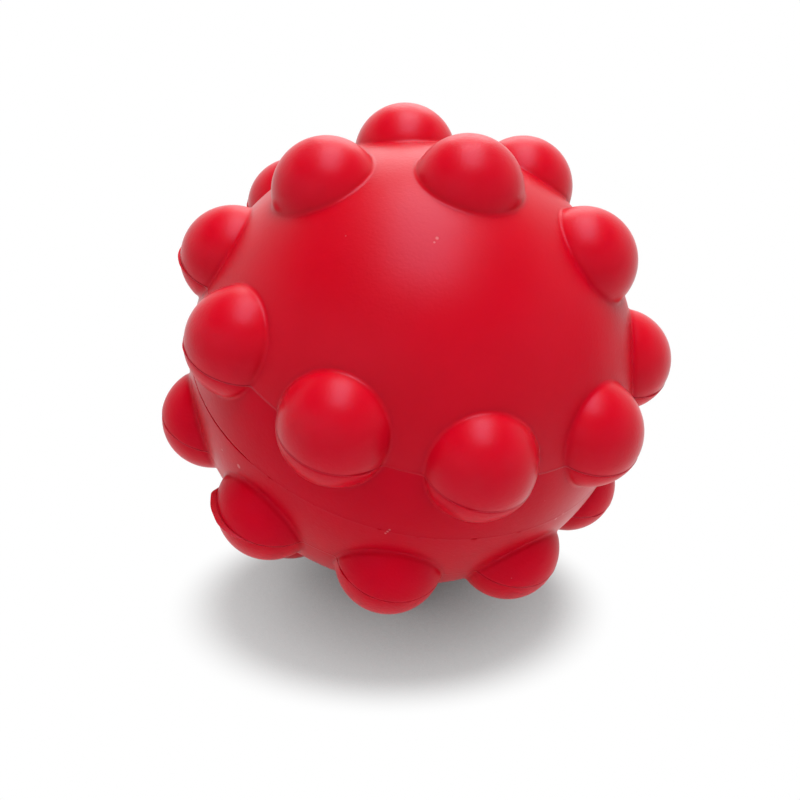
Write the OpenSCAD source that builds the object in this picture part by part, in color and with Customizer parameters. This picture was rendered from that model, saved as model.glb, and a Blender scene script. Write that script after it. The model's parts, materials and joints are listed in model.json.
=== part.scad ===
// Hollow sensory ball in soft silicone rubber: two like half shells bonded at the joint line,
// each with a pole dome, an inner ring with a bare patch, and an outer ring of press domes.
// Every crown presses towards the ball's centre. The ball rests on three domes of its lower half.

/* [Ball] */
// Diameter of the ball between its domes
body_d = 62; // [58:0.5:90]
// Wall of the half shells
shell_wall = 2.5; // [2:0.1:3]

/* [Domes] */
// Diameter of the sphere that each dome is part of
dome_d = 14; // [11:0.25:14.5]
// Depth of that sphere's centre below the ball's surface
dome_sink = 2.1; // [1.6:0.1:3]
// Wall of the dome where it rises from the shell
foot_wall = 1.3; // [1:0.1:1.8]
// Wall of the crown that presses in
crown_wall = 1.2; // [0.9:0.1:1.5]
// Height of the straight edge below the crown
crown_edge = 1; // [0.6:0.1:1.4]
// Clearance between a crown and the dome wall round it
crown_gap = 0.08; // [0.05:0.01:0.1]

/* [Layout of a half shell] */
// Angle from the pole to the inner ring
inner_angle = 35.5; // [35:0.5:38]
// Places in the inner ring, the bare ones included
inner_places = 6; // [4:1:6]
// Places left bare in the inner ring
bare_places = 2; // [0:1:3]
// Angle from the pole to the outer ring
outer_angle = 70; // [69:0.5:72]
// Domes in the outer ring
outer_domes = 10; // [6:1:10]
// Turn of the outer ring from the middle of the bare patch
outer_turn = 18; // [0:0.5:36]

/* [Joint between the halves] */
// Thickness of the bonding layer, seen outside as the seam
bond = 0.2; // [0.1:0.05:0.4]
// Depth of the seam below the ball's surface
seam_depth = 0.3; // [0.2:0.05:0.6]
// Depth of the bonding rim inside the shell wall
rim_depth = 1.5; // [1:0.1:2]
// Height of the bonding rim on each half
rim_height = 1.2; // [0.8:0.1:1.5]

/* [How the ball lies] */
// Turn of the lower half against the upper half
lower_turn = 167; // [0:1:359]
// Heading of the upper pole as the ball lies
heading = -47.5; // [-180:0.1:180]

/* [Hidden] */
$fn = 96;
// What a cut runs past the face that it opens
overrun = 1;
body_r = body_d / 2;
hollow_r = body_r - shell_wall;
dome_r = dome_d / 2;
dome_c = body_r - dome_sink;
// The circle in which a dome rises from the ball: its distance from the ball's centre, and its radius
foot_h = (pow(dome_c, 2) + pow(body_r, 2) - pow(dome_r, 2)) / (2 * dome_c);
foot_r = sqrt(pow(body_r, 2) - pow(foot_h, 2));
tip_h = dome_c + dome_r;
// A dome is pressed through when its crown lies as far below the foot circle as it stood above it
press_travel = 2 * (tip_h - foot_h);
bore_r = foot_r - foot_wall;
crown_r = bore_r - crown_gap;
crown_top_h = dome_c + sqrt(pow(dome_r, 2) - pow(crown_r, 2));
crown_low_h = crown_top_h - crown_edge;
bore_low_h = crown_low_h - press_travel;
// Places of one half shell as [angle from the pole, turn about it], the bare patch at turn 0
inner_step = 360 / inner_places;
outer_step = 360 / outer_domes;
inner_count = inner_places - bare_places;
inner_first = inner_step * (bare_places + 1) / 2;
pole_place = [0, 0];
inner_list = [for (i = [0:inner_count - 1]) [inner_angle, inner_first + i * inner_step]];
outer_list = [for (i = [0:outer_domes - 1]) [outer_angle, outer_turn + i * outer_step]];
all_places = concat([pole_place], inner_list, outer_list);
// The lower half stands on its pole dome and on the first two domes of its inner ring
rest_tilt = atan((1 - cos(inner_angle)) / (sin(inner_angle) * cos(inner_step / 2)));
rest_turn = lower_turn - (inner_first + inner_step / 2);
centre_h = dome_c * cos(rest_tilt) + dome_r;
silicone_red = [0.78, 0.02, 0.09];
bond_red = [0.55, 0.01, 0.05];
halves = ["upper", "lower"];
function inner_name(half, i) = str(half, "_inner_dome_", i + 1);
function outer_name(half, i) = str(half, "_outer_dome_", i + 1);

// Lays the whole ball down on its three domes, its centre above the origin
module as_it_lies() {
    translate([0, 0, centre_h])
        rotate([0, 0, heading])
            rotate([0, rest_tilt, 0])
                rotate([0, 0, -rest_turn])
                    children();
}

// Puts a half in its place on the ball: the lower one is turned over
module on_half(half) {
    if (half == "upper")
        children();
    else
        rotate([0, 0, lower_turn])
            rotate([180, 0, 0])
                children();
}

// Turns a dome from the pole to its place on a half shell
module at_place(place) {
    rotate([0, place[0], place[1]])
        children();
}

// A dome's full sphere, with the pole as its axis
module dome_sphere(radius) {
    translate([0, 0, dome_c])
        sphere(r = radius);
}

// The space in which a crown slides
module crown_bore() {
    translate([0, 0, bore_low_h])
        cylinder(r = bore_r, h = tip_h - bore_low_h + overrun);
}

// The rim inside the shell's edge, over which the halves are bonded
module bonding_rim() {
    difference() {
        cylinder(r = body_r, h = 2 * rim_height, center = true);
        cylinder(r = hollow_r - rim_depth, h = 2 * (rim_height + overrun), center = true);
    }
}

// The hollow inside the ball, narrower at the joint
module hollow() {
    difference() {
        sphere(r = hollow_r);
        bonding_rim();
    }
}

// All below the joint face of a half shell
module other_half() {
    translate([-tip_h - overrun, -tip_h - overrun, -tip_h - overrun])
        cube([2 * (tip_h + overrun), 2 * (tip_h + overrun), tip_h + overrun + bond / 2]);
}

// One half shell with the walls of its domes, open where the crowns slide
module half_shell() {
    color(silicone_red)
        difference() {
            union() {
                sphere(r = body_r);
                for (place = all_places)
                    at_place(place)
                        dome_sphere(dome_r);
            }
            hollow();
            for (place = all_places)
                at_place(place)
                    crown_bore();
            other_half();
        }
}

// The crown of one dome: a thin cap with a straight edge below it
module crown() {
    color(silicone_red)
        difference() {
            intersection() {
                dome_sphere(dome_r);
                translate([0, 0, crown_low_h])
                    cylinder(r = crown_r, h = tip_h - crown_low_h + overrun);
            }
            dome_sphere(dome_r - crown_wall);
        }
}

// The bonding layer between the two rims
module seam_bond() {
    color(bond_red)
        difference() {
            cylinder(r = body_r - seam_depth, h = bond, center = true);
            cylinder(r = hollow_r - rim_depth, h = bond + 2 * overrun, center = true);
        }
}

// A half shell as it lies
module shell(half) {
    as_it_lies()
        on_half(half)
            half_shell();
}

// A dome's crown as it lies
module dome(half, place) {
    as_it_lies()
        on_half(half)
            at_place(place)
                crown();
}

shell("upper");  // upper_shell
shell("lower");  // lower_shell
as_it_lies() seam_bond();
for (half = halves)
    dome(half, pole_place);
for (half = halves)
    for (i = [0:inner_count - 1])
        dome(half, inner_list[i]);
for (half = halves)
    for (i = [0:outer_domes - 1])
        dome(half, outer_list[i]);
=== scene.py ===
"""Sensory ball in soft red silicone: two half shells with press domes, bonded at a seam."""

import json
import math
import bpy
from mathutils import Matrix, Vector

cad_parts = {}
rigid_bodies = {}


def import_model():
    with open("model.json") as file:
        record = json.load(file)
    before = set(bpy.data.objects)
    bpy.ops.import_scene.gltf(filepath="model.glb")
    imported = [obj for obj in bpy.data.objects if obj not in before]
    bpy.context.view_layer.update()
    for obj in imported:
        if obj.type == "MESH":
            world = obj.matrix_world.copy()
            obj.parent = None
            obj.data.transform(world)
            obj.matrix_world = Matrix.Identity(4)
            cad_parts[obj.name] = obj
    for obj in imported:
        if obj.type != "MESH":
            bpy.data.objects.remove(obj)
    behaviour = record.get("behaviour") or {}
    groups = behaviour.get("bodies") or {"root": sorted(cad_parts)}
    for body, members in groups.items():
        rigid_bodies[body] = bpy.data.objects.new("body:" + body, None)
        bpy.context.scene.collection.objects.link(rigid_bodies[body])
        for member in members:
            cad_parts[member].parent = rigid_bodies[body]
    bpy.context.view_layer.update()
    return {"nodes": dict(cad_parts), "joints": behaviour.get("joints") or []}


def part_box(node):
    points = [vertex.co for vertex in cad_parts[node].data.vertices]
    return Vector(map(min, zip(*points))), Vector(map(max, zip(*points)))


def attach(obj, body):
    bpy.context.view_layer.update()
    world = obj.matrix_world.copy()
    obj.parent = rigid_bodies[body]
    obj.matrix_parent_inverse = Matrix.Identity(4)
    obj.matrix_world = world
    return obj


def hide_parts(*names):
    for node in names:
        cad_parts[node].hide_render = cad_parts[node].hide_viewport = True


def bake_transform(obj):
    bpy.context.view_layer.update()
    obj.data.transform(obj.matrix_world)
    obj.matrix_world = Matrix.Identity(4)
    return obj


bl_info = {
    "name": "Sensory ball",
    "version": (1, 0, 0),
    "blender": (4, 5, 0),
    "location": "View3D > Sidebar > Sensory ball",
    "description": "Dresses the frame of a knobbly silicone ball and sets it on a pale floor",
    "category": "Object",
}

import bpy
import numpy as np
from bpy.props import FloatProperty, FloatVectorProperty, IntProperty, PointerProperty
from mathutils import Matrix

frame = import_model()

# Direction from the ball's centre to the tip of each dome, which is pressed the other way
PRESS_AXES = {joint["child"]: -np.array(joint["axis"], float) for joint in frame["joints"]}
POLE = PRESS_AXES["upper_pole_dome"]
CENTRE = np.mean([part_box("seam_bond")[0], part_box("seam_bond")[1]], axis=0)
BODY = frame["joints"][0]["parent"]
MILLIMETRE = 0.001
RIGHT = (1.0, 0.0, 0.0)
UP = (0.0, 0.0, 1.0)
WHITE = (1.0, 1.0, 1.0, 1.0)

# Steps of the grids: round the seam's edge, up the round at a dome's foot, on to its tip, and along its flash
LIP_STEPS = 6
FOOT_STEPS = 7
DOME_STEPS = 72
FLASH_STEPS = 161
# Grid points of a shell nearer to a hole's edge than this share of a grid step slide onto the edge
HOLE_REACH = 0.56
# Depths below a dome's foot of the two rings of its sleeve in the shell's hole, and the sleeve's play
SLEEVE_DEPTHS = np.array([1.2, 0.02]) * MILLIMETRE
SLEEVE_PLAY = 0.01 * MILLIMETRE
# Height above a dome's foot at which its ledge has come up to its full step
LEDGE_FADE = 0.8 * MILLIMETRE
# Depth in the shell at which the flash ends
FLASH_SUNK = 0.3 * MILLIMETRE
# Section of the flash: shares of its height, negative where it is sunk in the dome, and of its width
BLADE_RISE = np.array([-0.6, 0.3, 0.8, 1.0, 0.8, 0.3, -0.6])
BLADE_SIDE = np.array([-0.5, -0.3, -0.17, 0.0, 0.17, 0.3, 0.5])
# Height in metres, start, end and fade in radians of the tabs of flash that stand out on two domes
TABS = {"upper_outer_dome_8": (0.00032, -0.7, 1.1, 0.6), "lower_outer_dome_6": (0.00085, -0.5, 1.13, 0.24)}
# Height of the low tab on every other outer dome
LOW_TAB = 0.2 * MILLIMETRE
# Radians by which the waves of the flash shift from one dome to the next
PHASE_STEP = 2.4
# Domes whose flash has been rubbed down, and the share of it that is left
RUBBED = {"upper_outer_dome_1": 0.3, "upper_outer_dome_10": 0.3}
# Edges that turn by more than this are shaded sharp
SHARP_ANGLE = math.radians(40)

# Distance in metres between the waves of the skin's noises, their detail and their roughness
CLOUDS = (0.021, 3.0, 0.6)
BLOTCHES = (0.0045, 2.0, 0.5)
GRAIN = (0.00034, 1.0, 0.5)
BEADS = (0.0006, 2.0, 0.5)
# Detail of the orange peel, whose distance is a property
PEEL_DETAIL = 1.5
# Values of the noises between which clouds, handled patches and beads come up
CLOUDS_RISE = (0.35, 0.7)
HANDLED_RISE = (0.35, 0.75)
BEADS_RISE = (0.4, 0.65)
# Distance in metres between places for a speck or pinhole, its radius, and the share of places that have one
SPECKS = (0.0034, 0.00008, 0.35)
PINHOLES = (0.0034, 0.00009, 0.5)
# Share of its radius within which a speck or pinhole, or a nick, shows in full
SPECK_CORE = 0.6
NICK_CORE = 0.4
# Direction from the ball's centre and radius in metres of the small pale nicks in its skin
NICKS = (
    ((-0.841, -0.537, 0.068), 0.0003),
    ((-0.692, -0.713, -0.113), 0.0004),
    ((-0.770, -0.632, -0.087), 0.0002),
    ((-0.101, -0.962, -0.253), 0.00018),
    ((-0.093, -0.966, -0.242), 0.0002),
    ((-0.085, -0.969, -0.231), 0.00018),
    ((0.090, -0.591, 0.801), 0.00028),
    ((0.080, -0.607, 0.791), 0.00018),
    ((0.590, -0.725, -0.357), 0.0003),
    ((0.621, -0.703, -0.347), 0.00022),
)
# Heights over the ball's surface between which a dome's skin becomes its top, and the body becomes a dome
TOP_STARTS = (3.4 * MILLIMETRE, 5.0 * MILLIMETRE)
DOME_STARTS = (0.2 * MILLIMETRE, 0.8 * MILLIMETRE)
# Distances from a mould line over which it fades, and over which the band between the two, and its gloss, end
LINE_FADE = (0.04 * MILLIMETRE, 0.18 * MILLIMETRE)
BAND_FADE = 0.03 * MILLIMETRE
GLOSS_FADE = 0.5 * MILLIMETRE
# Distance of the middle left of the centre, and the distances from it between which the ball's left and right
# begin: its flanks, which are glossy between the mould lines, and its sides, where the mould line is painted
# paler as a highlight
FLANKS = (3 * MILLIMETRE, 17 * MILLIMETRE, 25 * MILLIMETRE)
HIGHLIGHT_SIDES = (1 * MILLIMETRE, 10 * MILLIMETRE, 16 * MILLIMETRE)
# How strongly the marks of the skin show in its colour
HANDLED_SHARE = 0.25
# The mould line's pale colour is partly bloom and partly painted highlight; its extra share at the left and
# right is painted highlight
LINE_BLOOM_AND_HIGHLIGHT_SHARE = 0.2
SIDE_HIGHLIGHT_SHARE = 0.5
SPECK_SHARE = 0.75
NICK_SHARE = 0.3
PINHOLE_SHARE = 0.6
# What they add to its roughness
BLOTCH_ROUGHNESS = 0.10
PEEL_ROUGHNESS = 0.06
HANDLED_ROUGHNESS = 0.05
SPECK_ROUGHNESS = 0.3
# How high they stand, or how deep they lie, in metres
GRAIN_HEIGHT = 0.00002
TOP_GRAIN_HEIGHT = 0.000015
LINE_HEIGHT = 0.00005
SPECK_HEIGHT = 0.00002
PINHOLE_DEPTH = 0.00004
NICK_DEPTH = 0.00005
# Values of the silicone's shader that are the same all over the ball
SILICONE = {
    "IOR": 1.43,
    "Specular Tint": (0.2, 0.48, 0.95, 1.0),
    "Coat Roughness": 0.4,
    "Coat IOR": 1.17,
    "Subsurface Weight": 0.3,
    "Subsurface Radius": (1.0, 0.12, 0.08),
    "Subsurface Scale": 1 * MILLIMETRE,
}
# Height in metres of the bonding layer's beads, its roughness, and what they add to it
BEAD_HEIGHT = 0.00006
BOND_ROUGHNESS = 0.5
BEAD_ROUGHNESS = 0.2

# The floor's grid lines in metres: across it, along its level part, and on from there; and its sweep's radius
FLOOR_ACROSS = np.linspace(-1.8, 1.8, 25)
FLOOR_LEVEL = np.linspace(-1.5, 1.5, 31)
FLOOR_BEYOND = np.linspace(0.05, 1.0, 16)
FLOOR_SWEEP = 0.5
# The floor's second tint, and the distance between its patches in metres
FLOOR_TINT = (0.89, 0.89, 0.89, 1.0)
FLOOR_PATCHES = 0.05
# The ball's shadow: its middle, its width over its depth, and the distances from the middle where it ends
SHADOW_MIDDLE = (-0.0032, -0.011)
SHADOW_STRETCH = 1.5
SHADOW_ENDS = (0.0225, 0.0335)
# Share of the shadow that is seen as plain grey; how far over a place open air is looked for, and how often
GREY_SHARE = 0.88
AIR_HEIGHT = 0.1
AIR_SAMPLES = 12
# Sines of the heights above the horizon between which the room's white walls become its ceiling
CEILING_STARTS = (math.sin(math.radians(30)), math.sin(math.radians(42)))
# Direction from the ball, distance, width and length in metres of the softboxes
KEY_BOX = ((0.1, 0.04, 1.0), 0.45, 0.22, 0.48)
BACK_BOX = ((0.08, 0.79, 0.615), 0.45, 0.26, 0.26)
FILL_BOX = ((-0.5, -0.9, 0.7), 0.6, 0.5, 0.4)
# Width of the camera's sensor in millimetres, and the nearest distance in metres that it sees
SENSOR_WIDTH = 36
NEAREST_SEEN = 0.005


def a_length(name, description, default, low, high):
    """A length in metres, for a property group."""
    return FloatProperty(
        name=name, description=description, default=default, min=low, max=high, precision=6, unit="LENGTH",
    )


def a_share(name, description, default):
    """A number from 0 to 1, for a property group."""
    return FloatProperty(name=name, description=description, default=default, min=0.0, max=1.0)


def a_colour(name, description, default):
    """A colour, for a property group."""
    return FloatVectorProperty(name=name, description=description, subtype="COLOR", size=3, default=default)


class BallSizes(bpy.types.PropertyGroup):
    """Sizes of the ball, as a user would change them."""

    ball: a_length("Ball", "Diameter of the ball between its domes", 0.062, 0.05, 0.09)
    wall: a_length("Wall", "Wall of the half shells", 0.0025, 0.002, 0.003)
    dome: a_length("Dome", "Diameter of the sphere that each dome is part of", 0.014, 0.011, 0.0145)
    sink: a_length("Sink", "Depth of a dome sphere's centre below the ball's surface", 0.0021, 0.0016, 0.003)
    foot_round: a_length(
        "Foot round", "Radius of the hollow round at the foot of a dome", 0.00065, 0.0001, 0.0012,
    )
    seam_gap: a_length(
        "Seam gap", "Gap between the edges of the halves where the seam is open", 0.00012, 0.0, 0.0002,
    )
    seam_round: a_length(
        "Seam round", "Rounding of those edges where the seam is open", 0.00013, 0.00005, 0.0004,
    )
    seam_bead: a_length(
        "Seam bead", "Height of the bead along the seam where it is shut", 0.000014, 0.0, 0.0002,
    )
    mould_line: a_length("Mould line", "Distance of the mould lines from the seam's plane", 0.0093, 0.0, 0.02)
    ledge: a_length(
        "Ledge", "Step across the mould line on the domes of the outer ring", 0.00008, 0.0, 0.0005,
    )
    ledge_width: a_length("Ledge width", "Width over which the step rises", 0.00022, 0.0001, 0.001)
    flash: a_length("Flash", "Height of the flash on the mould line of the outer domes", 0.0001, 0.0, 0.0005)
    flash_width: a_length(
        "Flash width", "Width of the flash where it stands on the dome", 0.00022, 0.0001, 0.001,
    )
    shell_turns: IntProperty(
        name="Shell turns", description="Grid lines round the pole of a half shell",
        default=540, min=120, max=720,
    )
    dome_turns: IntProperty(
        name="Dome turns", description="Grid lines round the axis of a dome",
        default=224, min=48, max=320,
    )


class BallLooks(bpy.types.PropertyGroup):
    """Colours and finish of the silicone."""

    red: a_colour("Red", "Colour of the silicone", (0.58, 0.0002, 0.0110))
    deep_red: a_colour("Deep red", "Colour of its darker clouds", (0.54, 0.0002, 0.0095))
    # The domes' lighter red is painted light: it stands in for light shining through their thin walls
    dome_glow_red: a_colour(
        "Thin red", "Colour of the domes, whose thin walls let more light through", (0.60, 0.0002, 0.0120),
    )
    # This colour is also painted along the mould lines as a highlight
    bloom_and_highlight: a_colour("Bloom", "Colour of the pale bloom where the domes are handled", (0.50, 0.030, 0.045))
    dust: a_colour("Dust", "Colour of the dust specks", (0.86, 0.42, 0.43))
    seam_red: a_colour("Seam red", "Colour of the bonding layer", (0.22, 0.0008, 0.006))
    roughness: a_share("Roughness", "Roughness of the satin skin", 0.34)
    gloss: a_share("Gloss", "Specular level of the satin skin", 0.12)
    band_gloss: a_share("Band gloss", "Gloss added between the two mould lines, at the left and right", 0.7)
    top_gloss: a_share("Top gloss", "Gloss added above the upper mould line", 1.0)
    peel: a_length("Peel", "Distance between the waves of the orange peel", 0.00075, 0.0002, 0.003)
    peel_height: a_length("Peel height", "Height of the orange peel", 0.000016, 0.0, 0.0001)


class StageLooks(bpy.types.PropertyGroup):
    """Camera, floor and lamps."""

    elevation: FloatProperty(
        name="Elevation", description="Height of the camera above the horizon",
        subtype="ANGLE", default=math.radians(26.48),
    )
    roll: FloatProperty(
        name="Roll", description="Turn of the camera about its line of sight",
        subtype="ANGLE", default=math.radians(0.13),
    )
    distance: a_length("Distance", "Distance from the camera to the ball's centre", 0.134, 0.05, 2.0)
    lens: FloatProperty(
        name="Lens", description="Focal length on a 36 mm sensor", default=42.16, min=10.0, max=200.0,
    )
    across: FloatProperty(
        name="Across", default=0.01532,
        description="Place of the ball's centre right of the picture's middle, in picture widths",
    )
    above: FloatProperty(
        name="Above", default=0.04793,
        description="Place of the ball's centre above the picture's middle, in picture widths",
    )
    floor: a_colour("Floor", "Colour of the floor", (0.86, 0.86, 0.86))
    shadow: a_colour(
        "Shadow", "Colour of the floor where the ball covers all the air above it", (0.0, 0.0, 0.0),
    )
    ceiling: a_colour("Ceiling", "Colour of the studio's ceiling over the lamps", (0.06, 0.06, 0.06))
    key_power: FloatProperty(
        name="Key power", description="Power of the softbox overhead", default=2.65, unit="POWER",
    )
    back_power: FloatProperty(
        name="Back power", description="Power of the softbox high behind the ball", default=0.5, unit="POWER",
    )
    fill_power: FloatProperty(
        name="Fill power", description="Power of the front fill", default=0.3, unit="POWER",
    )
    sky: FloatProperty(name="Sky", description="Strength of the even light from all sides", default=0.60)


def unit(vector):
    """The vector at length one."""
    return np.asarray(vector, float) / np.linalg.norm(vector)


def sides(axis):
    """Two directions square to the axis and to each other, in right-hand order with it."""
    helper = np.eye(3)[np.argmin(np.abs(axis))]
    first = unit(np.cross(helper, axis))
    return first, np.cross(axis, first)


def ring_round(axis, turns):
    """Directions square to the axis, one for each turn: cos(turn) side + sin(turn) across."""
    first, second = sides(axis)
    turn = np.arange(turns) * (2 * math.pi / turns)
    return np.cos(turn)[:, None] * first + np.sin(turn)[:, None] * second


def smooth(value):
    """Smooth rise from 0 to 1 while the value goes from 0 to 1: 3 v^2 - 2 v^3."""
    v = np.clip(value, 0.0, 1.0)
    return v * v * (3.0 - 2.0 * v)


class BallShape:
    """The circles that the spheres of the ball and of a dome share, seen in a cut through the dome's axis."""

    def __init__(self, sizes):
        self.radius = sizes.ball / 2
        self.dome_radius = sizes.dome / 2
        self.dome_centre = self.radius - sizes.sink
        self.tip = self.dome_centre + self.dome_radius
        self.foot = self.meeting(self.radius, self.dome_radius)[1]
        self.round = sizes.foot_round
        self.round_centre = self.meeting(self.radius + self.round, self.dome_radius + self.round)
        self.hole = math.atan2(*self.round_centre)

    def meeting(self, ball, dome):
        """Distance from the axis, and along it, of the circle where two such spheres meet."""
        along = (self.dome_centre**2 + ball**2 - dome**2) / (2 * self.dome_centre)
        return math.sqrt(ball**2 - along**2), along


def put_mesh(name, points, faces, material):
    """A mesh object from whole arrays of points and of faces with equal corner counts."""
    mesh = bpy.data.meshes.new(name)
    mesh.vertices.add(len(points))
    mesh.vertices.foreach_set("co", np.ascontiguousarray(points, np.float32).ravel())
    mesh.loops.add(faces.size)
    mesh.loops.foreach_set("vertex_index", np.ascontiguousarray(faces, np.int32).ravel())
    mesh.polygons.add(len(faces))
    mesh.polygons.foreach_set("loop_start", np.arange(0, faces.size, faces.shape[1], dtype=np.int32))
    mesh.polygons.foreach_set("use_smooth", np.ones(len(faces), bool))
    mesh.update(calc_edges=True)
    mesh.validate()
    mesh.set_sharp_from_angle(angle=SHARP_ANGLE)
    mesh.materials.append(material)
    thing = bpy.data.objects.new(name, mesh)
    bpy.context.scene.collection.objects.link(thing)
    return thing


def grid_triangles(rows, turns, swap=None):
    """Triangles of a grid that closes round its turns; swap says which squares take the other diagonal."""
    if swap is None:
        swap = np.zeros((rows - 1, turns), bool)
    index = np.arange(rows * turns).reshape(rows, turns)
    a, b = index[:-1], index[1:]
    c, d = np.roll(b, -1, axis=1), np.roll(a, -1, axis=1)
    first = np.where(swap[..., None], np.stack([a, b, d], -1), np.stack([a, b, c], -1))
    second = np.where(swap[..., None], np.stack([b, c, d], -1), np.stack([a, c, d], -1))
    return np.concatenate([first.reshape(-1, 3), second.reshape(-1, 3)])


def thicken(outer, inner, faces):
    """Closes a sheet into a wall.

    The wall has the outer faces, the same faces turned over on the inner points, and a band along every edge
    that only one outer face has.
    """
    used, faces = np.unique(faces, return_inverse=True)
    faces = faces.reshape(-1, 3)
    count = len(used)
    edges = np.concatenate([faces[:, [0, 1]], faces[:, [1, 2]], faces[:, [2, 0]]])
    _, first, times = np.unique(np.sort(edges, axis=1), axis=0, return_index=True, return_counts=True)
    a, b = edges[first[times == 1]].T
    band = np.concatenate([np.stack([b, a, a + count], -1), np.stack([b, a + count, b + count], -1)])
    points = np.concatenate([outer[used], inner[used]])
    return points, np.concatenate([faces, faces[:, ::-1] + count, band])


def seam_open(direction):
    """How far open the seam is in each direction, from 0, shut, to 1.

    It has long open stretches where a slow wave is high, and short dashes on the crests of a fast wave where
    the slow one is middling.
    """
    first, second = sides(POLE)
    turn = np.arctan2(direction @ second, direction @ first)
    slow = np.cos(2 * turn + 2.0) + 0.6 * np.cos(5 * turn + 5.0)
    fast = np.sin(73 * turn + 2 * np.sin(7 * turn)) + 0.5 * np.sin(31 * turn)
    return np.maximum(smooth((slow - 0.8) / 0.3), 0.8 * smooth((fast + 0.4 * slow - 0.9) / 0.5))


def seam_rows(sizes, round_pole):
    """Height above the seam's plane and depth below the ball's surface of a shell's last rows.

    Where the seam is open they follow a quarter round into it: height = gap / 2 + lip (1 - cos(bend)) and
    depth = lip (1 - sin(bend)). Where it is shut they rise to a low bead: depth = -bead cos(bend).
    """
    wide = seam_open(round_pole)[None]
    bend = np.linspace(math.pi / 2, 0, LIP_STEPS)[:, None]
    height = sizes.seam_gap / 2 * wide + sizes.seam_round * (1 - np.cos(bend))
    depth = wide * sizes.seam_round * (1 - np.sin(bend)) - (1 - wide) * sizes.seam_bead * np.cos(bend)
    return height, depth


def fit_holes(direction, axes, hole, reach):
    """Slides the directions within reach of a round hole's edge onto it.

    Returns the new directions, which of them lie within a hole, and which lie within one or on its edge.
    """
    within = np.zeros(direction.shape[:-1], bool)
    covered = within.copy()
    for axis in axes:
        along = direction @ axis
        away = np.arccos(np.clip(along, -1, 1))
        near = np.abs(away - hole) < reach
        outward = direction - along[..., None] * axis
        outward /= np.maximum(np.linalg.norm(outward, axis=-1, keepdims=True), 1e-9)
        edge = math.cos(hole) * axis + math.sin(hole) * outward
        direction = np.where(near[..., None], edge, direction)
        within |= (away < hole) & ~near
        covered |= (away < hole) | near
    return direction, within, covered


def shell_mesh(sizes, shape, pole, dome_axes):
    """A half shell as a closed wall with a round hole for each dome.

    The grid runs from the pole dome's hole to the seam: a point lies at the ball's radius times
    cos(angle) pole + sin(angle) (cos(turn) side + sin(turn) across). Points near a hole slide along the
    sphere onto its edge, and faces inside the edge are left out.
    """
    turns = sizes.shell_turns
    step = 2 * math.pi / turns
    round_pole = ring_round(pole, turns)
    last = math.pi / 2 - (sizes.seam_gap + 3 * sizes.seam_round) / shape.radius
    rows = int((last - shape.hole) / step) + 1
    seam_height, seam_depth = seam_rows(sizes, round_pole)
    angle = np.repeat(np.linspace(shape.hole, last, rows)[:, None], turns, axis=1)
    angle = np.concatenate([angle, math.pi / 2 - seam_height / shape.radius])
    depth = np.concatenate([np.zeros((rows, turns)), seam_depth])
    direction = np.cos(angle)[..., None] * pole + np.sin(angle)[..., None] * round_pole
    direction, within, covered = fit_holes(direction, dome_axes, shape.hole, HOLE_REACH * step)
    covered[0] = True
    beside = np.roll(within, -1, axis=1)
    swap = (within[:-1] | beside[1:]) & ~within[1:] & ~beside[:-1]
    faces = grid_triangles(len(angle), turns, swap)
    faces = faces[~covered.ravel()[faces].all(axis=1) & ~within.ravel()[faces].any(axis=1)]
    direction = direction.reshape(-1, 3)
    outer = CENTRE + direction * (shape.radius - depth.reshape(-1, 1))
    inner = CENTRE + direction * (shape.radius - sizes.wall)
    return thicken(outer, inner, faces)


def dome_profile(shape):
    """A dome's profile, as distance from its axis and height along it.

    It runs from a short sleeve in the shell's hole, over the hollow round at the foot, to the tip. The round
    touches the ball and the dome's sphere.
    """
    across, along = shape.round_centre
    low = math.atan2(-along, -across) % (2 * math.pi)
    high = math.atan2(shape.dome_centre - along, -across) % (2 * math.pi)
    bend = np.linspace(low, high, FOOT_STEPS)
    round_r = across + shape.round * np.cos(bend)
    round_h = along + shape.round * np.sin(bend)
    polar = np.linspace(math.atan2(across, along - shape.dome_centre), 0, DOME_STEPS)[1:]
    dome_r = shape.dome_radius * np.sin(polar)
    dome_h = shape.dome_centre + shape.dome_radius * np.cos(polar)
    sleeve_r = np.full(len(SLEEVE_DEPTHS), round_r[0] - SLEEVE_PLAY)
    sleeve_h = round_h[0] - SLEEVE_DEPTHS
    return np.concatenate([sleeve_r, round_r, dome_r]), np.concatenate([sleeve_h, round_h, dome_h])


def dome_mesh(sizes, shape, axis, pole, ledge):
    """The skin of one dome: its profile turned about its axis.

    A point is distance (cos(turn) side + sin(turn) across) + height axis. Below the mould line, on the side
    of the seam, an outer dome stands out by the ledge: point + ledge smooth(depth / width) normal, fading out
    at the foot.
    """
    across, along = dome_profile(shape)
    rows, turns = len(across) - 1, sizes.dome_turns
    points = across[:-1, None, None] * ring_round(axis, turns) + along[:-1, None, None] * axis
    points = np.concatenate([points.reshape(-1, 3), along[-1:, None] * axis])
    normal = (points - shape.dome_centre * axis) / shape.dome_radius
    depth = sizes.mould_line - points @ pole
    risen = smooth((points @ axis - shape.foot) / LEDGE_FADE)
    points = points + (ledge * smooth(depth / sizes.ledge_width) * risen)[:, None] * normal
    rim = np.arange((rows - 1) * turns, rows * turns)
    cap = np.stack([rim, np.full(turns, rows * turns), np.roll(rim, -1)], -1)
    return CENTRE + points, np.concatenate([grid_triangles(rows, turns), cap])[:, ::-1]


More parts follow.
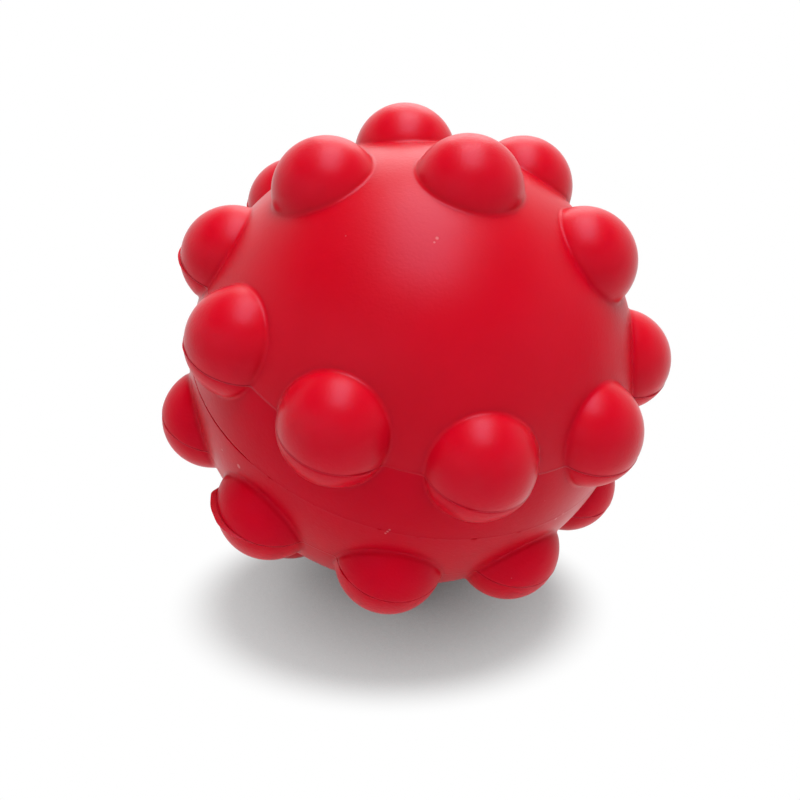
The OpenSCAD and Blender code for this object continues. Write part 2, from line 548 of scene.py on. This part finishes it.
def flash_height(sizes, turn, name):
    """Height of the flash at a turn along it: a low wavy bead, and a tab where the mould let more rubber out.

    Each dome has waves of its own, and so a tab where TABS doesn't name one.
    """
    phase = PHASE_STEP * list(PRESS_AXES).index(name)
    low_tab = (LOW_TAB, math.sin(phase) - 0.3, math.sin(phase) + 0.4, 0.3)
    height, start, end, fade = TABS.get(name, low_tab)
    waves = 0.8 + 0.2 * np.sin(9 * turn + phase) * np.sin(4.3 * turn + 2 * phase)
    bead = sizes.flash * RUBBED.get(name, 1.0) * waves
    tab = height * smooth((turn - start) / (0.5 * (end - start))) * smooth((end - turn) / fade)
    return np.maximum(bead, tab * (0.97 + 0.03 * np.sin(17 * turn + phase)))


def flash_mesh(sizes, shape, axis, pole, name):
    """The flash on an outer dome: a thin bead along the arc in which the mould line's plane cuts the dome.

    A point of the arc is middle + radius (cos(turn) outward + sin(turn) across). The section is a rounded
    blade in the plane of the pole and the ray from the middle. Its foot is sunk in the dome, and the ends of
    the flash in the shell.
    """
    offset = sizes.mould_line - shape.dome_centre * (axis @ pole)
    radius = math.sqrt(shape.dome_radius**2 - offset**2)
    outward = unit(axis - (axis @ pole) * pole)
    across = np.cross(pole, outward)
    middle = shape.dome_centre * axis + offset * pole
    sunk = shape.radius - FLASH_SUNK
    reach = math.acos((sunk**2 - middle @ middle - radius**2) / (2 * radius * (middle @ outward)))
    turn = np.linspace(-reach, reach, FLASH_STEPS)
    height = flash_height(sizes, turn, name)
    rise = np.where(BLADE_RISE > 0, BLADE_RISE * height[:, None], BLADE_RISE * sizes.flash)
    ray = np.cos(turn)[:, None] * outward + np.sin(turn)[:, None] * across
    side = BLADE_SIDE * sizes.flash_width
    points = middle + (radius + rise)[..., None] * ray[:, None] + side[:, None] * pole
    rows, corners = points.shape[:2]
    second = np.arange(1, corners - 1)
    fan = np.stack([np.zeros_like(second), second, second + 1], -1)
    ends = np.concatenate([fan[:, ::-1], fan + (rows - 1) * corners])
    return CENTRE + points.reshape(-1, 3), np.concatenate([grid_triangles(rows, corners), ends])


class Wire:
    """A shader socket that can stand in a sum: an expression on wires and numbers adds its Math nodes."""

    def __init__(self, shader, socket):
        self.shader = shader
        self.socket = socket

    def _math(self, operation, *values):
        made = self.shader.node("ShaderNodeMath", {"operation": operation}, dict(enumerate(values)))
        return Wire(self.shader, made.outputs[0])

    def __add__(self, other):
        return self._math("ADD", self, other)

    __radd__ = __add__

    def __sub__(self, other):
        return self._math("SUBTRACT", self, other)

    def __rsub__(self, other):
        return self._math("SUBTRACT", other, self)

    def __mul__(self, other):
        return self._math("MULTIPLY", self, other)

    def __abs__(self):
        return self._math("ABSOLUTE", self)

    def __gt__(self, other):
        return self._math("GREATER_THAN", self, other)


class Shader:
    """A material's or the world's node tree, with one way to make a node."""

    def __init__(self, owner):
        owner.use_nodes = True
        self.tree = owner.node_tree
        self.tree.nodes.clear()

    def node(self, kind, settings, inputs):
        """A node of this kind; its settings are set first, then each input gets its value or its link."""
        made = self.tree.nodes.new(kind)
        for name, value in settings.items():
            setattr(made, name, value)
        for name, value in inputs.items():
            if isinstance(value, Wire):
                self.tree.links.new(value.socket, made.inputs[name])
            else:
                made.inputs[name].default_value = value
        return made

    def wire(self, kind, settings, inputs, output=0):
        """A new node's output as a wire."""
        return Wire(self, self.node(kind, settings, inputs).outputs[output])

    def vector(self, operation, first, second, output="Value"):
        """What a Vector Math node makes of two vectors."""
        return self.wire("ShaderNodeVectorMath", {"operation": operation}, {0: first, 1: second}, output)

    def place(self):
        """The point in the ball's own coordinates, measured from its centre."""
        point = self.wire("ShaderNodeTexCoord", {}, {}, "Object")
        return self.vector("SUBTRACT", point, tuple(CENTRE), "Vector")

    def noise(self, place, size, detail=2.0, rough=0.5):
        """Soft noise from 0 to 1 whose waves are about size apart."""
        inputs = {"Vector": place, "Scale": 1 / size, "Detail": detail, "Roughness": rough}
        return self.wire("ShaderNodeTexNoise", {}, inputs, "Fac")

    def rise(self, value, low, high):
        """0 below low, 1 above high, and smooth between."""
        inputs = {"Value": value, "From Min": low, "From Max": high}
        return self.wire("ShaderNodeMapRange", {"interpolation_type": "SMOOTHSTEP"}, inputs)

    def mix(self, share, first, second):
        """A colour that goes from first to second as share goes from 0 to 1."""
        return self.wire("ShaderNodeMix", {"data_type": "RGBA"}, {0: share, 6: first, 7: second}, 2)

    def blend(self, share, first, second):
        """A shader that goes from first to second as share goes from 0 to 1."""
        return self.wire("ShaderNodeMixShader", {}, {0: share, 1: first, 2: second})

    def seen(self):
        """1 for rays from the camera and for mirror-like and see-through ones, 0 for the rest."""
        rays = self.node("ShaderNodeLightPath", {}, {}).outputs
        kinds = [Wire(self, rays[f"Is {name} Ray"]) for name in ("Camera", "Glossy", "Transmission")]
        return kinds[0] + kinds[1] + kinds[2]

    def finish(self, kind, surface):
        """Links the last shader to the output node."""
        self.node(kind, {}, {"Surface": surface})


def colour(value):
    """A colour property as four numbers."""
    return (*value, 1.0)


def dust_specks(shader, place, spacing, radius, share):
    """Sparse round specks: places near the points of a loose lattice, in a share of its cells."""
    found = shader.node("ShaderNodeTexVoronoi", {}, {"Vector": place, "Scale": 1 / spacing}).outputs
    away = Wire(shader, found["Distance"])
    near = 1 - shader.rise(away, SPECK_CORE * radius / spacing, radius / spacing)
    pick = shader.wire("ShaderNodeSeparateColor", {}, {"Color": Wire(shader, found["Color"])})
    return near * (pick > 1 - share)


def nicks(shader, place, radius):
    """1 within each small nick of a ball of this radius, 0 elsewhere."""
    marks = 0.0
    for direction, size in NICKS:
        away = shader.vector("DISTANCE", place, tuple(unit(direction) * radius))
        marks = 1 - shader.rise(away, NICK_CORE * size, size) + marks
    return marks


def at_sides(shader, place, left, start, end):
    """0 in the middle of the ball, taken left of its centre, and 1 at its left and right."""
    across = shader.vector("DOT_PRODUCT", place, RIGHT)
    return shader.rise(abs(across + left), start, end)


def silicone_material(sizes, looks):
    """Satin red silicone.

    Its colour has clouds, and carries a pale bloom on the domes' handled tops, dust specks, nicks and
    pinholes. The domes' lighter red is painted light shining through their thin walls. The pale colour along
    the mould lines is partly bloom and partly a painted highlight, with more painted highlight at the left
    and right. Its bump is orange peel, a fine grain and the same marks. Its coat makes it glossier above the
    upper mould line, and between the mould lines at the left and right.
    """
    material = bpy.data.materials.new("red_silicone")
    shader = Shader(material)
    place = shader.place()
    radius = sizes.ball / 2
    mould_line = sizes.mould_line
    height = shader.vector("DISTANCE", place, (0.0, 0.0, 0.0)) - radius
    level = shader.vector("DOT_PRODUCT", place, tuple(POLE))

    clouds = shader.noise(place, *CLOUDS)
    blotches = shader.noise(place, *BLOTCHES)
    peel = shader.noise(place, looks.peel, PEEL_DETAIL)
    grain = shader.noise(place, *GRAIN)
    specks = dust_specks(shader, place, *SPECKS)
    pinholes = dust_specks(shader, place, *PINHOLES)
    worn = nicks(shader, place, radius)

    top = shader.rise(height, *TOP_STARTS)
    body = 1 - shader.rise(height, *DOME_STARTS)
    handled = top * shader.rise(blotches, *HANDLED_RISE)
    line = 1 - shader.rise(abs(abs(level) - mould_line), *LINE_FADE)
    band = 1 - shader.rise(abs(level), mould_line - BAND_FADE, mould_line + BAND_FADE)
    above = shader.rise(level, mould_line - GLOSS_FADE, mould_line + GLOSS_FADE)
    flanks = at_sides(shader, place, *FLANKS)
    # Painted highlight: where the mould line is painted paler, at the ball's left and right
    edges = at_sides(shader, place, *HIGHLIGHT_SIDES)

    base = shader.mix(shader.rise(clouds, *CLOUDS_RISE), colour(looks.deep_red), colour(looks.red))
    layers = (
        # Painted light: the domes' lighter red stands in for light through their thin walls
        (1 - body, looks.dome_glow_red),
        (handled * HANDLED_SHARE, looks.bloom_and_highlight),
        # Pale bloom and painted highlight along the mould lines, with more painted highlight at the left and
        # right
        (line * (LINE_BLOOM_AND_HIGHLIGHT_SHARE + edges * SIDE_HIGHLIGHT_SHARE), looks.bloom_and_highlight),
        (specks * SPECK_SHARE + worn * NICK_SHARE, looks.dust),
        (pinholes * PINHOLE_SHARE, looks.deep_red),
    )
    for strength, value in layers:
        base = shader.mix(strength, base, colour(value))

    roughness = looks.roughness + (blotches - 0.5) * BLOTCH_ROUGHNESS + (peel - 0.5) * PEEL_ROUGHNESS
    roughness = roughness + handled * HANDLED_ROUGHNESS + specks * SPECK_ROUGHNESS
    relief = peel * looks.peel_height + grain * (GRAIN_HEIGHT + top * TOP_GRAIN_HEIGHT)
    relief = relief + line * body * LINE_HEIGHT + specks * SPECK_HEIGHT
    relief = relief - pinholes * PINHOLE_DEPTH - worn * NICK_DEPTH
    bump = shader.wire("ShaderNodeBump", {}, {"Strength": 1.0, "Distance": 1.0, "Height": relief})
    coat = above * (1 - body * flanks) * looks.top_gloss + band * body * flanks * looks.band_gloss
    inputs = {"Base Color": base, "Roughness": roughness, "Normal": bump,
              "Specular IOR Level": looks.gloss, "Coat Weight": coat, **SILICONE}
    shader.finish("ShaderNodeOutputMaterial", shader.wire("ShaderNodeBsdfPrincipled", {}, inputs))
    return material


def ball_material(scene):
    """The red silicone, which is made once and shared by the shells and the domes."""
    return bpy.data.materials.get("red_silicone") or silicone_material(scene.ball_sizes, scene.ball_looks)


def bond_material(looks):
    """The bonding layer: dull dark red, with beads and gaps along it."""
    material = bpy.data.materials.new("bonding_layer")
    shader = Shader(material)
    beads = shader.noise(shader.place(), *BEADS)
    base = shader.mix(shader.rise(beads, *BEADS_RISE), colour(looks.seam_red), colour(looks.deep_red))
    bump = shader.wire("ShaderNodeBump", {}, {"Distance": 1.0, "Height": beads * BEAD_HEIGHT})
    inputs = {"Base Color": base, "Roughness": BOND_ROUGHNESS + beads * BEAD_ROUGHNESS, "Normal": bump}
    shader.finish("ShaderNodeOutputMaterial", shader.wire("ShaderNodeBsdfPrincipled", {}, inputs))
    return material


def half_of(name):
    """upper or lower, from a node's name."""
    return name.split("_")[0]


def pole_of(half):
    """The pole of a half, pointing out of the ball."""
    return POLE if half == "upper" else -POLE


class SCENE_OT_half_shells(bpy.types.Operator):
    """Builds the two half shells with a hole for each dome, in place of their plain solids."""

    bl_idname = "sensory_ball.half_shells"
    bl_label = "Half shells"

    def execute(self, context):
        sizes = context.scene.ball_sizes
        shape = BallShape(sizes)
        material = ball_material(context.scene)
        for half in ("upper", "lower"):
            ringed = [a for name, a in PRESS_AXES.items() if half_of(name) == half and "pole" not in name]
            points, faces = shell_mesh(sizes, shape, pole_of(half), ringed)
            skin = put_mesh(f"{half}_shell_skin", points, faces, material)
            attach(skin, BODY)
            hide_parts(f"{half}_shell")
        return {"FINISHED"}


class SCENE_OT_domes(bpy.types.Operator):
    """Builds the skin of every press dome, and the flash on each outer dome."""

    bl_idname = "sensory_ball.domes"
    bl_label = "Press domes"

    def execute(self, context):
        sizes = context.scene.ball_sizes
        shape = BallShape(sizes)
        material = ball_material(context.scene)
        for name, axis in PRESS_AXES.items():
            pole = pole_of(half_of(name))
            outer = "outer" in name
            points, faces = dome_mesh(sizes, shape, axis, pole, sizes.ledge if outer else 0.0)
            if outer:
                flash_points, flash_faces = flash_mesh(sizes, shape, axis, pole, name)
                faces = np.concatenate([faces, flash_faces + len(points)])
                points = np.concatenate([points, flash_points])
            skin = put_mesh(f"{name}_skin", points, faces, material)
            CENTRE + axis * shape.foot
            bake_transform(skin)
            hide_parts(name)
        return {"FINISHED"}


class SCENE_OT_seam(bpy.types.Operator):
    """Gives the bonding layer between the halves its finish."""

    bl_idname = "sensory_ball.seam"
    bl_label = "Seam"

    def execute(self, context):
        layer = frame["nodes"]["seam_bond"]
        layer.data.materials.clear()
        layer.data.materials.append(bond_material(context.scene.ball_looks))
        return {"FINISHED"}


def floor_material(stage):
    """Pale matt floor.

    The camera and mirror-like rays see the ball's shadow on it in part as a plain grey, worked out from how
    much of the open air above the floor the ball covers, and plain white away from the shadow.
    """
    material = bpy.data.materials.new("pale_floor")
    shader = Shader(material)
    seen = shader.seen()
    point = shader.wire("ShaderNodeTexCoord", {}, {}, "Object")
    stretched = shader.vector("MULTIPLY", point, (1.0, SHADOW_STRETCH, 1.0), "Vector")
    middle = (SHADOW_MIDDLE[0], SHADOW_MIDDLE[1] * SHADOW_STRETCH, 0.0)
    away = shader.vector("DISTANCE", stretched, middle)
    patches = shader.mix(shader.noise(point, FLOOR_PATCHES), colour(stage.floor), FLOOR_TINT)
    lit = shader.wire("ShaderNodeBsdfDiffuse", {}, {"Color": patches})
    look = {"samples": AIR_SAMPLES}
    open_air = shader.wire("ShaderNodeAmbientOcclusion", look, {"Distance": AIR_HEIGHT}, "AO")
    grey = shader.mix(open_air, colour(stage.shadow), WHITE)
    cover = shader.wire("ShaderNodeEmission", {}, {"Color": grey, "Strength": 1.0})
    white = shader.wire("ShaderNodeEmission", {}, {"Color": WHITE, "Strength": 1.0})
    near = shader.blend(seen * GREY_SHARE, lit, cover)
    both = shader.blend(seen * shader.rise(away, *SHADOW_ENDS), near, white)
    shader.finish("ShaderNodeOutputMaterial", both)
    return material


def make_floor(stage):
    """A floor that sweeps up behind: level at first, then a quarter round, y = end + sweep sin(turn) and
    z = sweep (1 - cos(turn)), and then a wall."""
    x = FLOOR_ACROSS
    end = FLOOR_LEVEL[-1]
    depth = np.concatenate([FLOOR_LEVEL, end + FLOOR_BEYOND])
    turn = np.clip((depth - end) / FLOOR_SWEEP, 0, math.pi / 2)
    rest = np.maximum(depth - end - FLOOR_SWEEP * math.pi / 2, 0)
    y = np.minimum(depth, end) + FLOOR_SWEEP * np.sin(turn)
    z = FLOOR_SWEEP * (1 - np.cos(turn)) + rest
    points = np.stack(np.broadcast_arrays(x[None], y[:, None], z[:, None]), -1).reshape(-1, 3)
    index = np.arange(len(points)).reshape(len(depth), len(x))
    corners = [index[:-1, :-1], index[:-1, 1:], index[1:, 1:], index[1:, :-1]]
    faces = np.stack([c.ravel() for c in corners], -1)
    floor = put_mesh("floor", points, faces, floor_material(stage))


def make_world(stage):
    """Even light from all round below a darker ceiling; the camera and mirror-like rays see white walls."""
    world = bpy.data.worlds.new("studio")
    bpy.context.scene.world = world
    shader = Shader(world)
    direction = shader.wire("ShaderNodeTexCoord", {}, {}, "Generated")
    overhead = shader.rise(shader.vector("DOT_PRODUCT", direction, UP), *CEILING_STARTS)
    room = shader.mix(overhead, WHITE, colour(stage.ceiling))
    even = shader.wire("ShaderNodeBackground", {}, {"Color": room, "Strength": stage.sky})
    white = shader.wire("ShaderNodeBackground", {}, {"Color": room, "Strength": 1.0})
    shader.finish("ShaderNodeOutputWorld", shader.blend(shader.seen(), even, white))


def facing(place, side):
    """The turned frame of a lamp or camera that looks at the ball's centre, its right hand along side."""
    back = unit(place - CENTRE)
    right = unit(np.subtract(side, np.dot(side, back) * back))
    up = np.cross(back, right)
    return Matrix([[*row, p] for row, p in zip(np.stack([right, up, back], -1), place)] + [[0, 0, 0, 1]])


def make_lamp(name, softbox, power):
    """A rectangular softbox that faces the ball."""
    direction, distance, width, depth = softbox
    data = bpy.data.lights.new(name, "AREA")
    data.shape = "RECTANGLE"
    data.size, data.size_y = width, depth
    data.energy = power
    lamp = bpy.data.objects.new(name, data)
    lamp.matrix_world = facing(CENTRE + unit(direction) * distance, RIGHT)
    bpy.context.scene.collection.objects.link(lamp)


def make_camera(stage):
    """The camera of the photograph: level but for a slight roll, looking at the ball's centre."""
    sight = np.array([0, -math.cos(stage.elevation), math.sin(stage.elevation)])
    side = math.cos(stage.roll) * np.array(RIGHT) + math.sin(stage.roll) * np.cross(sight, RIGHT)
    data = bpy.data.cameras.new("camera")
    data.sensor_width = SENSOR_WIDTH
    data.lens = stage.lens
    data.clip_start = NEAREST_SEEN
    data.shift_x, data.shift_y = -stage.across, -stage.above
    camera = bpy.data.objects.new("camera", data)
    camera.matrix_world = facing(CENTRE + sight * stage.distance, side)
    bpy.context.scene.collection.objects.link(camera)
    bpy.context.scene.camera = camera


class SCENE_OT_ball_stage(bpy.types.Operator):
    """Sets the ball on a pale floor under its softboxes, with the camera of the photograph."""

    bl_idname = "sensory_ball.stage"
    bl_label = "Stage"

    def execute(self, context):
        stage = context.scene.ball_stage
        context.scene.view_settings.view_transform = "Standard"
        make_floor(stage)
        make_world(stage)
        make_lamp("softbox", KEY_BOX, stage.key_power)
        make_lamp("back_softbox", BACK_BOX, stage.back_power)
        make_lamp("fill", FILL_BOX, stage.fill_power)
        make_camera(stage)
        return {"FINISHED"}


class VIEW3D_PT_sensory_ball(bpy.types.Panel):
    """The sidebar panel with the ball's sizes, looks and pieces."""

    bl_label = "Sensory ball"
    bl_space_type = "VIEW_3D"
    bl_region_type = "UI"
    bl_category = "Sensory ball"

    def draw(self, context):
        for group in (context.scene.ball_sizes, context.scene.ball_looks, context.scene.ball_stage):
            box = self.layout.box()
            for name in group.bl_rna.properties.keys():
                if name not in ("rna_type", "name"):
                    box.prop(group, name)
        for step in STEPS:
            self.layout.operator(step.bl_idname)


STEPS = (SCENE_OT_half_shells, SCENE_OT_domes, SCENE_OT_seam, SCENE_OT_ball_stage)
CLASSES = (BallSizes, BallLooks, StageLooks, *STEPS, VIEW3D_PT_sensory_ball)


def register():
    for kind in CLASSES:
        bpy.utils.register_class(kind)
    bpy.types.Scene.ball_sizes = PointerProperty(type=BallSizes)
    bpy.types.Scene.ball_looks = PointerProperty(type=BallLooks)
    bpy.types.Scene.ball_stage = PointerProperty(type=StageLooks)


def unregister():
    for name in ("ball_sizes", "ball_looks", "ball_stage"):
        delattr(bpy.types.Scene, name)
    for kind in reversed(CLASSES):
        bpy.utils.unregister_class(kind)


def main():
    register()
    bpy.ops.sensory_ball.half_shells()
    bpy.ops.sensory_ball.domes()
    bpy.ops.sensory_ball.seam()
    bpy.ops.sensory_ball.stage()


if __name__ == "__main__":
    main()
